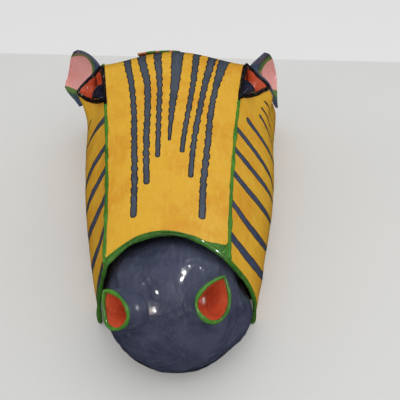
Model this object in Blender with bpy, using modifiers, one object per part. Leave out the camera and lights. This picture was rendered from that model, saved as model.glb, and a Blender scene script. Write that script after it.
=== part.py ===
"""Zebra-head wall mask in painted paper and card, lying face up on its open back.

The shell is three card panels: a long face strip that bends over the crown, and two cheek
panels.  A round muzzle bowl with two nostril cups stands in the arch at the front.
Axes: +Z up from the resting plane, -Y towards the muzzle, +X to the mask's own left cheek.
"""
import math

import bmesh
import bpy
from mathutils import Vector

# --- driving dimensions, in metres -----------------------------------------------------
WALL = 0.003                 # layered paper and card
THIN_WALL = 0.0022           # rolled paper cups
GAP = 0.0003                 # play left between glued faces
LEAN = -0.055                # the hand-made shell leans a little to one side as it rises

CROWN_Y = 0.250              # where the face strip starts to bend down
CROWN_DEPTH = 0.085          # how far the bent part reaches behind that
MUZZLE_HEIGHT = 0.106        # seam height at the muzzle
STRIP_CAMBER = 0.015         # rise of the strip's middle over its edges
MUZZLE_HALF_WIDTH = 0.0567   # face strip at the muzzle
FOOT_HALF_WIDTH = 0.081      # cheek panels' feet at the muzzle
CORNER_REACH = {-1: 0.024, 1: 0.019}    # how far the arch's corners come forward
FOOT_REACH = 0.011           # how far its feet do
CHEEK_BULGE = {-1: 0.0055, 1: 0.0125}   # swell of each cheek half-way down, at the muzzle
BULGE_GROWTH = {-1: 0.11, 1: 0.095}     # and how fast it grows towards the back
BACK_BULGE = 0.014                      # how much more it swells at the very back
CHEEK_FLARE = {-1: 0.018, 1: 0.012}     # push of each cheek round its eye's outer corner
FLARE_PLACE = (0.268, 0.27)             # along the seam, and part of the way down
FLARE_SIZE = (0.040, 0.15)
FULL_BULGE_HEIGHT = 0.10                # where the seam is lower, the cheek swells less
CHEEK_ROWS = 15                         # rows of points from a cheek's seam to its foot

BOWL_RADIUS = 0.0682
BOWL_TILT = math.radians(51)            # how far the bowl's axis looks up
BOWL_X = 0.0030
BOWL_Y = -0.0185
NOSTRIL_CENTRE = {-1: (-0.0486, -0.050, 0.053), 1: (0.0359, -0.0445, 0.0597)}
NOSTRIL_SIZE = {-1: (0.0130, 0.0166), 1: (0.0147, 0.0195)}    # half width, half length
NOSTRIL_TURN = {-1: math.radians(31), 1: math.radians(26)}    # the tips point outwards
NOSTRIL_RINGS = ((0.0, 1.0), (0.006, 0.87), (0.014, 0.68), (0.023, 0.47), (0.031, 0.27))

# Each eye's corners and the pull points of its two lids, as places along the seam and
# parts of the way down the cheek.
EYE_FRONT = {-1: (0.196, 0.018), 1: (0.203, 0.018)}
EYE_OUTER = {-1: (0.272, 0.280), 1: (0.275, 0.230)}
EYE_BACK = {-1: (0.281, 0.018), 1: (0.288, 0.018)}
EYE_LOWER_BOW = {-1: (0.230, 0.275), 1: (0.236, 0.215)}
EYE_UPPER_BOW = {-1: (0.292, 0.190), 1: (0.303, 0.150)}
SOCKET_RINGS = ((0.0, 0.93), (0.008, 0.86), (0.016, 0.70), (0.024, 0.42))
EYEBALL_RADIUS = 0.0165
EYEBALL_PLACE = {-1: (0.217, 0.055), 1: (0.225, 0.050)}
EYEBALL_SINK = 0.008

SEAM_RADIUS = 0.0018
RIM_RADIUS = 0.0026
EYE_RIM_RADIUS = 0.0018
NOSTRIL_RIM_RADIUS = 0.0021

# Each ear's root runs down the cheek behind the eye, as places along and down the cheek;
# its free edge bows back and outwards.
EAR_ROOT = {-1: ((0.2925, 0.03), (0.293, 0.13), (0.288, 0.28), (0.284, 0.42)),
            1: ((0.299, 0.03), (0.3005, 0.11), (0.293, 0.24), (0.286, 0.42))}
EAR_LIFT = 0.0054
EAR_EDGE = {-1: ((0.121, 0.297, 0.139), (0.1345, 0.317, 0.122), (0.147, 0.3245, 0.088),
                 (0.150, 0.3085, 0.078), (0.128, 0.281, 0.068)),
            1: ((0.1125, 0.295, 0.137), (0.1225, 0.313, 0.122), (0.130, 0.323, 0.092),
                (0.130, 0.304, 0.080), (0.1275, 0.2745, 0.070))}
EAR_DISH = 0.010

MANE_SPAN = (0.306, 0.412)   # stretch of the bent strip that the mane lies on
MANE_REACH = 0.047
MANE_LIFT = 0.007
MANE_STAND = 0.0026          # height of the mane's root off the strip

BRACE_Y = 0.225
BRACE_SIZE = (0.226, 0.026, 0.006)
WIRE_RADIUS = 0.0011
LOOP_HALF_WIDTH = 0.034
LOOP_DEPTH = 0.030

COLORS = {
    "yellow": (0.72, 0.42, 0.03), "slate": (0.035, 0.042, 0.075), "green": (0.07, 0.24, 0.03),
    "red": (0.40, 0.05, 0.02), "black": (0.012, 0.010, 0.012), "orange": (0.62, 0.22, 0.10),
    "wood": (0.46, 0.31, 0.17), "steel": (0.45, 0.45, 0.46),
}
SIDES = {"left": -1, "right": 1}


# --- scene set-up ----------------------------------------------------------------------
def fresh_scene():
    for obj in list(bpy.data.objects):
        bpy.data.objects.remove(obj, do_unlink=True)
    parts = bpy.data.collections.new("zebra_mask")
    cutters = bpy.data.collections.new("cutters")
    bpy.context.scene.collection.children.link(parts)
    bpy.context.scene.collection.children.link(cutters)
    return parts, cutters


PARTS, CUTTERS = fresh_scene()


def paint(obj, color, roughness=0.35, metallic=0.0):
    """Give a sub-part its own material."""
    material = bpy.data.materials.new(obj.name)
    material.use_nodes = True
    shader = material.node_tree.nodes["Principled BSDF"]
    shader.inputs["Base Color"].default_value = (*COLORS[color], 1.0)
    shader.inputs["Roughness"].default_value = roughness
    shader.inputs["Metallic"].default_value = metallic
    obj.data.materials.clear()
    obj.data.materials.append(material)


def add_object(name, mesh, collection=PARTS):
    obj = bpy.data.objects.new(name, mesh)
    collection.objects.link(obj)
    if collection is CUTTERS:
        obj.hide_render = True
        obj.display_type = "WIRE"
    return obj


def mesh_from(bm, name):
    mesh = bpy.data.meshes.new(name)
    bm.to_mesh(mesh)
    bm.free()
    return mesh


def settle(obj):
    """Turn an object's modifiers or curve into plain mesh, with any loose caps joined."""
    depsgraph = bpy.context.evaluated_depsgraph_get()
    mesh = bpy.data.meshes.new_from_object(obj.evaluated_get(depsgraph))
    bm = bmesh.new()
    bm.from_mesh(mesh)
    bmesh.ops.remove_doubles(bm, verts=bm.verts, dist=1e-6)
    bm.to_mesh(mesh)
    bm.free()
    name = obj.name
    collection = obj.users_collection[0]
    bpy.data.objects.remove(obj, do_unlink=True)
    return add_object(name, mesh, collection)


# --- the shell's shape -----------------------------------------------------------------
def place(x, y, z):
    return Vector((x + LEAN * z, y, z))


def crown_arc_length():
    """Length of the quarter ellipse that the bent strip follows."""
    height = seam_height(CROWN_Y)
    return math.pi / 2 * math.sqrt((CROWN_DEPTH ** 2 + height ** 2) / 2)


def seam_height(y):
    return MUZZLE_HEIGHT + 0.17 * y - 0.16 * y * y


def foot_half_width(y):
    return FOOT_HALF_WIDTH + 0.225 * y - 0.25 * y * y


def seam(s):
    """Half width, y and z of the seam at s, the distance along the strip from the arch."""
    if s <= CROWN_Y:
        half_width = MUZZLE_HALF_WIDTH + 0.055 * s + 0.2 * s * s
        return half_width, s, seam_height(s)
    turn = (s - CROWN_Y) / crown_arc_length() * math.pi / 2
    y = CROWN_Y + CROWN_DEPTH * math.sin(turn)
    z = seam_height(CROWN_Y) * math.cos(turn)
    narrow = MUZZLE_HALF_WIDTH + 0.055 * y + 0.2 * y * y
    spread = (foot_half_width(y) - narrow) * (1 - math.cos(turn)) ** 2
    return narrow + spread, y, z


def strip_point(across, s, lift=0.0):
    """A point on the face strip: across runs from -1 to 1, lift is height off its face."""
    half_width, y, z = seam(s)
    step = 0.002
    _, y0, z0 = seam(s - step)
    _, y1, z1 = seam(s + step)
    along = Vector((y1 - y0, z1 - z0)).normalized()
    rise = STRIP_CAMBER * (1 - across * across) + lift
    return place(half_width * across, y - along.y * rise, z + along.x * rise)


def cheek_point(side, s, down):
    """A point on a cheek panel: down runs from 0 at the seam to 1 at the foot."""
    half_width, y, z = seam(s)
    foot = foot_half_width(y)
    swell = CHEEK_BULGE[side] + BULGE_GROWTH[side] * y - 0.37 * y * y
    swell += BACK_BULGE * max(0.0, y - CROWN_Y) / CROWN_DEPTH
    bulge = swell * math.sin(math.pi * down) * min(1.0, z / FULL_BULGE_HEIGHT)
    along, below = (s - FLARE_PLACE[0]) / FLARE_SIZE[0], (down - FLARE_PLACE[1]) / FLARE_SIZE[1]
    flare = CHEEK_FLARE[side] * math.exp(-along ** 2 - below ** 2)
    x = half_width + (foot - half_width) * down + bulge + flare
    return place(side * x, y, z * (1 - down))


def cheek_normal(side, s, down):
    step = 0.004
    along = cheek_point(side, s + step, down) - cheek_point(side, s - step, down)
    below = cheek_point(side, s, down + step) - cheek_point(side, s, down - step)
    normal = along.cross(below).normalized()
    return normal if normal.x * side > 0 else -normal


def arch_front(across, side):
    """How far forward the strip's front edge lies at a place across it."""
    return -CORNER_REACH[side] * abs(across) ** 2.2


def cheek_front(side, down):
    """The same for a cheek panel's front edge."""
    return -CORNER_REACH[side] + (CORNER_REACH[side] - FOOT_REACH) * down


# --- modelling helpers -----------------------------------------------------------------
def grid_bmesh(rows, closed=False):
    """An open sheet of quads through rows of points; closed joins each row's two ends."""
    bm = bmesh.new()
    verts = [[bm.verts.new(p) for p in row] for row in rows]
    count = len(rows[0])
    last = count if closed else count - 1
    for low, high in zip(verts, verts[1:]):
        for i in range(last):
            j = (i + 1) % count
            bm.faces.new((low[i], low[j], high[j], high[i]))
    return bm, verts


def face_away(bm, point):
    """Turn the whole sheet so that its faces look away from a point."""
    bm.normal_update()
    total = sum(f.normal.dot(f.calc_center_median() - point) * f.calc_area() for f in bm.faces)
    if total < 0:
        bmesh.ops.reverse_faces(bm, faces=bm.faces)


def sheet(name, rows, inside, color, thickness=WALL, offset=-1.0, closed=False, cap=False):
    """A shell: an open sheet through rows of points, thickened with Solidify."""
    bm, verts = grid_bmesh(rows, closed)
    if cap:
        middle = bm.verts.new(sum((v.co for v in verts[-1]), Vector()) / len(verts[-1]))
        for i, vert in enumerate(verts[-1]):
            bm.faces.new((vert, verts[-1][(i + 1) % len(verts[-1])], middle))
        bmesh.ops.recalc_face_normals(bm, faces=bm.faces)
    face_away(bm, inside)
    obj = add_object(name, mesh_from(bm, name))
    solidify = obj.modifiers.new("thickness", "SOLIDIFY")
    solidify.thickness = thickness
    solidify.offset = offset
    paint(obj, color)
    return obj


def ring_solid(name, rings, collection=CUTTERS):
    """A closed solid lofted through rings of points, its ends fanned to points."""
    bm, verts = grid_bmesh(rings, closed=True)
    for ring in (verts[0], verts[-1]):
        tip = bm.verts.new(sum((v.co for v in ring), Vector()) / len(ring))
        for i, vert in enumerate(ring):
            bm.faces.new((vert, ring[(i + 1) % len(ring)], tip))
    bmesh.ops.recalc_face_normals(bm, faces=bm.faces)
    return add_object(name, mesh_from(bm, name), collection)


def cut(obj, cutter, operation="DIFFERENCE"):
    modifier = obj.modifiers.new(operation.lower(), "BOOLEAN")
    modifier.operation = operation
    modifier.solver = "EXACT"
    modifier.object = cutter


def stand_flat(obj, reach=0.0016):
    """Bring the lower edge of a settled shell onto the resting plane."""
    for vert in obj.data.vertices:
        if vert.co.z < reach:
            vert.co.z = 0.0


def bead(name, points, radius, color, cyclic=False, roughness=0.35, metallic=0.0):
    """A round bead or wire through a list of points."""
    curve = bpy.data.curves.new(name, "CURVE")
    curve.dimensions = "3D"
    curve.bevel_depth = radius
    curve.bevel_resolution = 2
    curve.use_fill_caps = not cyclic
    spline = curve.splines.new("POLY")
    spline.points.add(len(points) - 1)
    for spot, point in zip(spline.points, points):
        spot.co = (*point, 1.0)
    spline.use_cyclic_u = cyclic
    obj = settle(add_object(name, curve))
    paint(obj, color, roughness, metallic)
    return obj


def bowed(points, count):
    """Evenly stepped points of a smooth curve through the given ones."""
    out = []
    last = len(points) - 1
    for k in range(count):
        where = k / (count - 1) * last
        i = min(int(where), last - 1)
        t = where - i
        p0, p1 = points[max(i - 1, 0)], points[i]
        p2, p3 = points[i + 1], points[min(i + 2, last)]
        out.append(0.5 * (2 * p1 + (p2 - p0) * t + (2 * p0 - 5 * p1 + 4 * p2 - p3) * t * t
                          + (3 * p1 - p0 - 3 * p2 + p3) * t ** 3))
    return out


def steps(start, end, count):
    return [start + (end - start) * k / (count - 1) for k in range(count)]


# --- the shell -------------------------------------------------------------------------
def strip_stations(start):
    """Distances along the shell, closer together where it bends over the crown."""
    end = CROWN_Y + crown_arc_length()
    return steps(start, 0.235, 13)[:-1] + steps(0.235, end, 13)


def face_strip():
    inset = 0.0012
    rows = []
    for across in steps(-1, 1, 15):
        side = 1 if across > 0 else -1
        squeeze = 1 - inset / MUZZLE_HALF_WIDTH
        rows.append([strip_point(across * squeeze, s) for s in strip_stations(arch_front(across, side))])
    obj = settle(sheet("face_strip", rows, Vector((0, 0.1, -0.5)), "yellow"))
    stand_flat(obj)
    paint(obj, "yellow")


def cheek_panel(name, side, eye_cutter):
    drop = 0.0035
    rows = []
    for part in steps(0, 1, CHEEK_ROWS):
        row = []
        for s in strip_stations(cheek_front(side, part))[:-1]:
            top = drop / seam(s)[2]
            row.append(cheek_point(side, s, top + (1 - top) * part))
        rows.append(row)
    obj = settle(sheet(name, rows, Vector((0, 0.12, 0.04)), "yellow"))
    stand_flat(obj)
    cut(obj, eye_cutter)
    paint(obj, "yellow")


def seam_bead(name, side, start, end, count):
    points = []
    for s in steps(start, end, count):
        half_width, y, z = seam(s)
        out = cheek_normal(side, s, 0.05)
        points.append(place(side * half_width, y, z) + out * 0.0004 - Vector((0, 0, 0.0011)))
    bead(name, points, SEAM_RADIUS, "green")


# --- muzzle ----------------------------------------------------------------------------
def arch_path(forward):
    """The arch's edge from one foot over the top to the other, moved forward."""
    points = []
    for side in (-1, 1):
        leg = [cheek_point(side, cheek_front(side, d), d) for d in steps(1, 0.1, 9)]
        top = [strip_point(side * a, arch_front(a, side)) for a in steps(0.93, 0.12, 8)]
        points.append(leg + top)
    middle = [strip_point(0, 0)]
    path = points[0] + middle + points[1][::-1]
    return [p - Vector((0, forward, 0)) for p in path]


def muzzle_rim():
    path = arch_path(RIM_RADIUS * 2)
    centre = Vector((0, 0, 0.05))
    drawn_in = []
    for p in path:
        inward = Vector((centre.x - p.x, 0, centre.z - p.z)).normalized()
        drawn_in.append(p + inward * WALL / 2)
    for foot in (drawn_in[0], drawn_in[-1]):
        foot.z = 0.0004
    bead("muzzle_rim", drawn_in, RIM_RADIUS, "green")


def gusset(name, side, reach, spread):
    """A thin paper corner piece that lies on the strip's front corner."""
    rows = []
    for k in range(4):
        part = k / 3
        front = arch_front(0.95, side) + 0.0045
        low = strip_point(side * 0.955, front + reach * part, 0.0011)
        wide = side * (0.955 - spread * (1 - part))
        high = strip_point(wide, front + 0.001 + reach * part * 0.9, 0.0011)
        rows.append([low, low.lerp(high, 0.5) + Vector((0, 0, 0.0003)), high])
    sheet(name, rows, Vector((0, 0, 0)), "green", thickness=0.0012, offset=0.0)


def bowl_centre():
    return place(BOWL_X, BOWL_Y, BOWL_RADIUS * math.cos(BOWL_TILT))


def muzzle_collar():
    """A card ring inside the arch that the bowl is glued to."""
    s = 0.017
    centre = bowl_centre()
    depth = s - BOWL_Y - WALL
    hold = math.sqrt(BOWL_RADIUS ** 2 - depth ** 2) + 0.0008
    legs = {}
    for side in (-1, 1):
        legs[side] = [cheek_point(side, s, d) - cheek_normal(side, s, d) * (WALL + 0.0006)
                      for d in steps(1, 0.12, 7)]
    top = [strip_point(a, s, -WALL - 0.0006) for a in steps(-0.90, 0.90, 11)]
    outline = legs[-1] + top + legs[1][::-1]
    rows = []
    for p in outline:
        out = Vector((p.x - centre.x, 0, p.z - centre.z))
        if p.z > centre.z:
            inner = Vector((centre.x, p.y, centre.z)) + out.normalized() * hold
        else:
            inner = Vector((centre.x + math.copysign(hold, out.x), p.y, p.z))
        outer = Vector((p.x, s, max(p.z, 0.0)))
        rows.append([outer, Vector((inner.x, s, max(inner.z, 0.0)))])
    sheet("muzzle_collar", rows, Vector((0, 1, 0)), "slate", thickness=WALL, offset=-1.0)


def muzzle_bowl(cutters):
    """Half a ball, turned from a quarter arc, its lip on the resting plane."""
    bm = bmesh.new()
    arc = [(BOWL_RADIUS * math.sin(a), 0, BOWL_RADIUS * math.cos(a))
           for a in steps(0, math.pi / 2, 13)]
    verts = [bm.verts.new(p) for p in arc]
    for first, second in zip(verts, verts[1:]):
        bm.edges.new((first, second))
    obj = add_object("muzzle_bowl", mesh_from(bm, "muzzle_bowl"))
    screw = obj.modifiers.new("turn", "SCREW")
    screw.steps = 40
    screw.render_steps = 40
    screw.use_merge_vertices = True
    screw.merge_threshold = 0.00001
    solidify = obj.modifiers.new("thickness", "SOLIDIFY")
    solidify.thickness = WALL
    solidify.offset = -1.0
    obj.location = bowl_centre()
    obj.rotation_euler = (math.pi / 2 - BOWL_TILT, 0, 0)
    for cutter in cutters:
        cut(obj, cutter)
    paint(obj, "slate", 0.25)


def teardrop(count):
    """A drop of unit half width and half length, its tip at the top."""
    points = []
    for k in range(count):
        t = 2 * math.pi * k / count
        points.append((1.18 * math.sin(t) * math.sin(t / 2) ** 0.8, math.cos(t)))
    return points


def nostril_rings(side, grow=0.0):
    """Rings of a nostril cup, from its mouth inwards; grow widens each of them."""
    centre = bowl_centre() + Vector(NOSTRIL_CENTRE[side])
    inward = -Vector(NOSTRIL_CENTRE[side]).normalized()
    up = (Vector((0, 0.8, 0.6)) - inward * inward.dot(Vector((0, 0.8, 0.6)))).normalized()
    across = up.cross(inward).normalized()
    across = across if across.x > 0 else -across
    turn = NOSTRIL_TURN[side]
    tip = up * math.cos(turn) + across * side * math.sin(turn)
    flat = across * math.cos(turn) - up * side * math.sin(turn)
    rings = []
    for depth, scale in NOSTRIL_RINGS:
        width = NOSTRIL_SIZE[side][0] * scale + grow
        length = NOSTRIL_SIZE[side][1] * scale + grow
        rings.append([centre + inward * depth + flat * width * x + tip * length * y
                      for x, y in teardrop(20)])
    return rings, inward


def nostril(word, side):
    rings, inward = nostril_rings(side)
    sheet("nostril_cup_" + word, rings, rings[2][0].lerp(rings[2][10], 0.5), "slate",
          thickness=THIN_WALL, closed=True, cap=True)
    mouth = [p - inward * (NOSTRIL_RIM_RADIUS + THIN_WALL) for p in rings[0]]
    middle = sum(mouth, Vector()) / len(mouth)
    mouth = [p.lerp(middle, 0.05) for p in mouth]
    bead("nostril_rim_" + word, mouth, NOSTRIL_RIM_RADIUS, "green", cyclic=True)


def nostril_cutter(word, side):
    rings, inward = nostril_rings(side, grow=GAP * 2)
    deeper = [p + inward * 0.004 for p in rings[-1]]
    return ring_solid("nostril_space_" + word, rings + [deeper])


# --- eyes ------------------------------------------------------------------------------
def eye_outline(side):
    """The eye's edge as (distance along the seam, part of the way down the cheek)."""
    front, outer, back = EYE_FRONT[side], EYE_OUTER[side], EYE_BACK[side]

    def bow(a, b, c, t):
        return tuple((1 - t) ** 2 * p + 2 * t * (1 - t) * q + t * t * r for p, q, r in zip(a, b, c))

    lower = [bow(front, EYE_LOWER_BOW[side], outer, k / 8) for k in range(8)]
    upper = [bow(outer, EYE_UPPER_BOW[side], back, k / 8) for k in range(8)]
    middle = ((front[0] + back[0]) / 2, front[1])
    inner = [bow(back, middle, front, k / 6) for k in range(6)]
    return lower + upper + inner


def eye_frame(side):
    """The eye's edge in space, its outward directions, its middle and mean direction."""
    spots = eye_outline(side)
    edge = [cheek_point(side, s, d) for s, d in spots]
    outward = [cheek_normal(side, s, d) for s, d in spots]
    middle = sum(edge, Vector()) / len(edge)
    mean = sum(outward, Vector()).normalized()
    return edge, outward, middle, mean


def eye_cutter(word, side):
    edge, outward, _, mean = eye_frame(side)
    rings = [[p + n * reach for p, n in zip(edge, outward)] for reach in (0.012, -0.012)]
    cutter = ring_solid("eye_space_" + word, rings)
    outer_tip, inner_tip = cutter.data.vertices[-2], cutter.data.vertices[-1]
    outer_tip.co += mean * 0.02
    inner_tip.co -= mean * 0.02
    return cutter


def socket_rings(side, shrink=0.0):
    edge, _, middle, mean = eye_frame(side)
    size = sum((p - middle).length for p in edge) / len(edge)
    rings = []
    for depth, scale in SOCKET_RINGS:
        part = scale - shrink / size
        rings.append([middle - mean * depth + (p - middle) * part for p in edge])
    return rings, middle, mean


def eye(word, side):
    rings, middle, mean = socket_rings(side)
    sheet("eye_socket_" + word, rings, middle - mean * 0.008, "red",
          thickness=THIN_WALL, closed=True, cap=True)
    edge, outward, _, _ = eye_frame(side)
    line = [p + n * (EYE_RIM_RADIUS + GAP) for p, n in zip(edge, outward)]
    bead("eye_rim_" + word, line, EYE_RIM_RADIUS, "black", cyclic=True)
    cavity_rings, _, _ = socket_rings(side, shrink=THIN_WALL * 2.6)
    lifted = [p + mean * 0.006 for p in cavity_rings[0]]
    cavity = ring_solid("eye_hollow_" + word, [lifted] + cavity_rings[:-1])
    bm = bmesh.new()
    bmesh.ops.create_uvsphere(bm, u_segments=24, v_segments=16, radius=EYEBALL_RADIUS)
    ball = add_object("eyeball_" + word, mesh_from(bm, "eyeball"))
    ball.data.shade_smooth()
    ball.location = cheek_point(side, *EYEBALL_PLACE[side]) - mean * EYEBALL_SINK
    cut(ball, cavity, "INTERSECT")
    paint(ball, "slate", 0.1)


# --- ears, mane, back ------------------------------------------------------------------
def ear(word, side):
    root = [cheek_point(side, *spot) + cheek_normal(side, *spot) * EAR_LIFT
            for spot in EAR_ROOT[side]]
    edge = [place(side * x, y, z) for x, y, z in EAR_EDGE[side]]
    roots = bowed(root, 13)
    edges = bowed(edge, 13)
    dish = Vector((side * -0.2, 0.8, -0.55))
    rows = []
    for across in steps(0, 1, 9):
        row = []
        for k, (low, high) in enumerate(zip(roots, edges)):
            sink = EAR_DISH * 4 * across * (1 - across) * math.sin(math.pi * k / 12)
            row.append(low.lerp(high, across) + dish * sink)
        rows.append(row)
    sheet("ear_" + word, rows, place(0, 0.6, -0.2), "slate", offset=0.0)


def mane():
    """A flap of card that lies over to one side down the back of the head."""
    rows = []
    for s in steps(*MANE_SPAN, 15):
        part = (s - MANE_SPAN[0]) / (MANE_SPAN[1] - MANE_SPAN[0])
        half_width = seam(s)[0]
        reach = MANE_REACH * (1 - 0.45 * part ** 1.5)
        row = []
        for k in range(7):
            out = k / 6
            across = (0.006 - (reach + 0.006) * out) / half_width
            row.append(strip_point(across, s, MANE_STAND + MANE_LIFT * out))
        rows.append(row)
    sheet("mane_crest", rows, Vector((0, 0.1, 0)), "orange", thickness=0.0035, offset=0.0)


def back_brace():
    bm = bmesh.new()
    bmesh.ops.create_cube(bm, size=1.0)
    bmesh.ops.scale(bm, vec=BRACE_SIZE, verts=bm.verts)
    bmesh.ops.translate(bm, vec=(0, BRACE_Y, BRACE_SIZE[2] / 2), verts=bm.verts)
    paint(add_object("back_brace", mesh_from(bm, "back_brace")), "wood", 0.7)


def hanging_wire():
    level = BRACE_SIZE[2] + WIRE_RADIUS + GAP
    path = [Vector((LOOP_HALF_WIDTH * x, BRACE_Y + LOOP_DEPTH * y, level))
            for x, y in ((-1, -0.3), (-0.98, 0.2), (-0.6, 0.82), (0, 1), (0.6, 0.82),
                         (0.98, 0.2), (1, -0.3))]
    bead("hanging_wire", bowed(path, 31), WIRE_RADIUS, "steel", roughness=0.4, metallic=1.0)


def wire_staple(word, side):
    """A staple that holds one end of the wire to the brace."""
    level = BRACE_SIZE[2] + GAP
    x = side * LOOP_HALF_WIDTH
    span = WIRE_RADIUS * 2 + 0.0012
    path = [Vector((x + dx * span, BRACE_Y - 0.003, level + dz))
            for dx, dz in ((-1, 0), (-1, 0.0032), (-0.5, 0.0046), (0.5, 0.0046), (1, 0.0032), (1, 0))]
    bead("wire_staple_" + word, path, 0.0007, "steel", roughness=0.3, metallic=1.0)


def centre_on_origin():
    """Put the origin at the middle of the whole object's base."""
    bpy.context.view_layer.update()
    low = Vector((1e9, 1e9, 1e9))
    high = -low
    depsgraph = bpy.context.evaluated_depsgraph_get()
    for obj in PARTS.objects:
        shown = obj.evaluated_get(depsgraph)
        for vert in shown.data.vertices:
            spot = shown.matrix_world @ vert.co
            low = Vector(map(min, low, spot))
            high = Vector(map(max, high, spot))
    shift = Vector((-(low.x + high.x) / 2, -(low.y + high.y) / 2, 0))
    for obj in list(PARTS.objects) + list(CUTTERS.objects):
        obj.location += shift


def build():
    face_strip()
    for word, side in SIDES.items():
        cheek_panel("cheek_panel_" + word, side, eye_cutter(word, side))
        seam_bead("seam_" + word, side, 0.002 - CORNER_REACH[side], EYE_FRONT[side][0] - 0.004, 22)
        seam_bead("crown_seam_" + word, side, EYE_BACK[side][0] + 0.008, 0.405, 16)
        nostril(word, side)
        eye(word, side)
        ear(word, side)
        wire_staple(word, side)
    gusset("muzzle_gusset_left", -1, 0.006, 0.10)
    gusset("muzzle_gusset_right", 1, 0.014, 0.26)
    muzzle_rim()
    muzzle_collar()
    muzzle_bowl([nostril_cutter(word, side) for word, side in SIDES.items()])
    mane()
    back_brace()
    hanging_wire()
    centre_on_origin()


build()
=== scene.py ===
"""Looks of the zebra-head mask: dense painted-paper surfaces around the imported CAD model."""

import math

import bmesh
import bpy
import numpy as np
from mathutils import Matrix, Vector, noise


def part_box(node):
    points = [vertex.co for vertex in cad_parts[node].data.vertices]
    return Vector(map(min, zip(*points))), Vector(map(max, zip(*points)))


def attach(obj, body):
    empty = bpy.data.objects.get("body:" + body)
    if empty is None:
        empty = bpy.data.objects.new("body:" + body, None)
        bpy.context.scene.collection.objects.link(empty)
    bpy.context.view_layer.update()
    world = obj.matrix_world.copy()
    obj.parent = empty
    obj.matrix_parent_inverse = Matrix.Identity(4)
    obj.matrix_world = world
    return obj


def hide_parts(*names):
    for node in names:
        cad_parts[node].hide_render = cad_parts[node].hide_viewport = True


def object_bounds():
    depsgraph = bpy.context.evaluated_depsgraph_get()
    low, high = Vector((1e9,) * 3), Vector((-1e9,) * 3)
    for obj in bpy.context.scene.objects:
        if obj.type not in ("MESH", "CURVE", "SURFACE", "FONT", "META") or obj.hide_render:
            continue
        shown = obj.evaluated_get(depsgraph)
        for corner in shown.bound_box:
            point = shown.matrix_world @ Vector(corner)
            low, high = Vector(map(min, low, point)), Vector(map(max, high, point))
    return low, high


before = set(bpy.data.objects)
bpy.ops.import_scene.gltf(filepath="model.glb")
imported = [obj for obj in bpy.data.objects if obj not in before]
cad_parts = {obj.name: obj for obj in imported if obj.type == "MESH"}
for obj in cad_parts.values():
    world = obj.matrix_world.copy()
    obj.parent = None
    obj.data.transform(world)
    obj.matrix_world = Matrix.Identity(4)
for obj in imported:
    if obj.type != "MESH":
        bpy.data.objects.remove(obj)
CAD_BOX = [list(corner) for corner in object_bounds()]

# --- sizes repeated from the CAD design, in metres ---------------------------------------
WALL = 0.003
THIN_WALL = 0.0022
LEAN = -0.055
CROWN_Y = 0.250
CROWN_DEPTH = 0.085
MUZZLE_HEIGHT = 0.106
STRIP_CAMBER = 0.015
CROWN_FLATTENING = 0.7
MUZZLE_HALF_WIDTH = 0.0567
FOOT_HALF_WIDTH = 0.081
CORNER_REACH = {-1: 0.024, 1: 0.019}
FOOT_REACH = 0.011
CHEEK_BULGE = {-1: 0.0055, 1: 0.0125}
BULGE_GROWTH = {-1: 0.11, 1: 0.095}
BACK_BULGE = 0.014
CHEEK_FLARE = {-1: 0.018, 1: 0.012}
FLARE_PLACE = (0.268, 0.27)
FLARE_SIZE = (0.040, 0.15)
FULL_BULGE_HEIGHT = 0.10
BOWL_RADIUS = 0.0682
BOWL_TILT = math.radians(51)
BOWL_X = 0.0030
BOWL_Y = -0.0185
NOSTRIL_CENTRE = {-1: (-0.0486, -0.050, 0.053), 1: (0.0359, -0.0445, 0.0597)}
NOSTRIL_SIZE = {-1: (0.0130, 0.0166), 1: (0.0147, 0.0195)}
NOSTRIL_TURN = {-1: math.radians(31), 1: math.radians(26)}
CUP_RINGS = ((0.0005, 0.97), (0.003, 0.92), (0.008, 0.82), (0.014, 0.68), (0.020, 0.54), (0.026, 0.40),
             (0.030, 0.27))
CUP_HOLD = 0.0015
# Painted shadow on the bowl: the direction from its centre of a black patch by the right-hand rim, and the
# patch's reach in metres, standing for the dark gap between bowl and rim.
BOWL_SHADE_DIRECTION = (0.97, 0.18, 0.10)
BOWL_SHADE_SIZE = 0.016
BOWL_DENTS = (((0.95, 0.10, 0.38), -0.0060, 0.25), ((0.93, -0.34, -0.20), 0.0050, 0.32),
              ((0.97, -0.05, -0.10), 0.0060, 0.26), ((-0.75, 0.20, 0.60), 0.0045, 0.40),
              ((0.75, 0.25, 0.60), 0.0035, 0.35))
EYE_FRONT = {-1: (0.196, 0.010), 1: (0.203, 0.010)}
EYE_OUTER = {-1: (0.272, 0.280), 1: (0.275, 0.230)}
EYE_BACK = {-1: (0.268, 0.010), 1: (0.288, 0.010)}
EYE_LOWER_BOW = {-1: (0.230, 0.275), 1: (0.236, 0.215)}
EYE_UPPER_BOW = {-1: (0.298, 0.180), 1: (0.303, 0.150)}
CROWN_SEAM_START = {-1: 0.296, 1: 0.300}
LID_WIDTH = 0.0019
SOCKET_FOLD = {-1: 0.105, 1: 0.082}
EYEBALL_RADIUS = 0.0185
EYEBALL_PLACE = {-1: (0.213, 0.060), 1: (0.221, 0.055)}
EYEBALL_SINK = 0.008
EAR_ROOT = {-1: ((0.2925, 0.03), (0.293, 0.13), (0.288, 0.28), (0.284, 0.42)),
            1: ((0.299, 0.03), (0.3005, 0.11), (0.293, 0.24), (0.286, 0.42))}
EAR_LIFT = 0.0054
EAR_EDGE = {-1: ((0.121, 0.297, 0.139), (0.1345, 0.317, 0.122), (0.147, 0.3245, 0.088),
                 (0.150, 0.3085, 0.078), (0.128, 0.281, 0.068)),
            1: ((0.1125, 0.295, 0.137), (0.1225, 0.313, 0.122), (0.130, 0.323, 0.092),
                (0.130, 0.304, 0.080), (0.1275, 0.2745, 0.070))}
EAR_DISH = 0.010
EAR_LENGTH = 0.080
EAR_BOW = {-1: 0.0045, 1: 0.0}
MANE_SPAN = (0.306, 0.412)
MANE_REACH = 0.047
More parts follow.
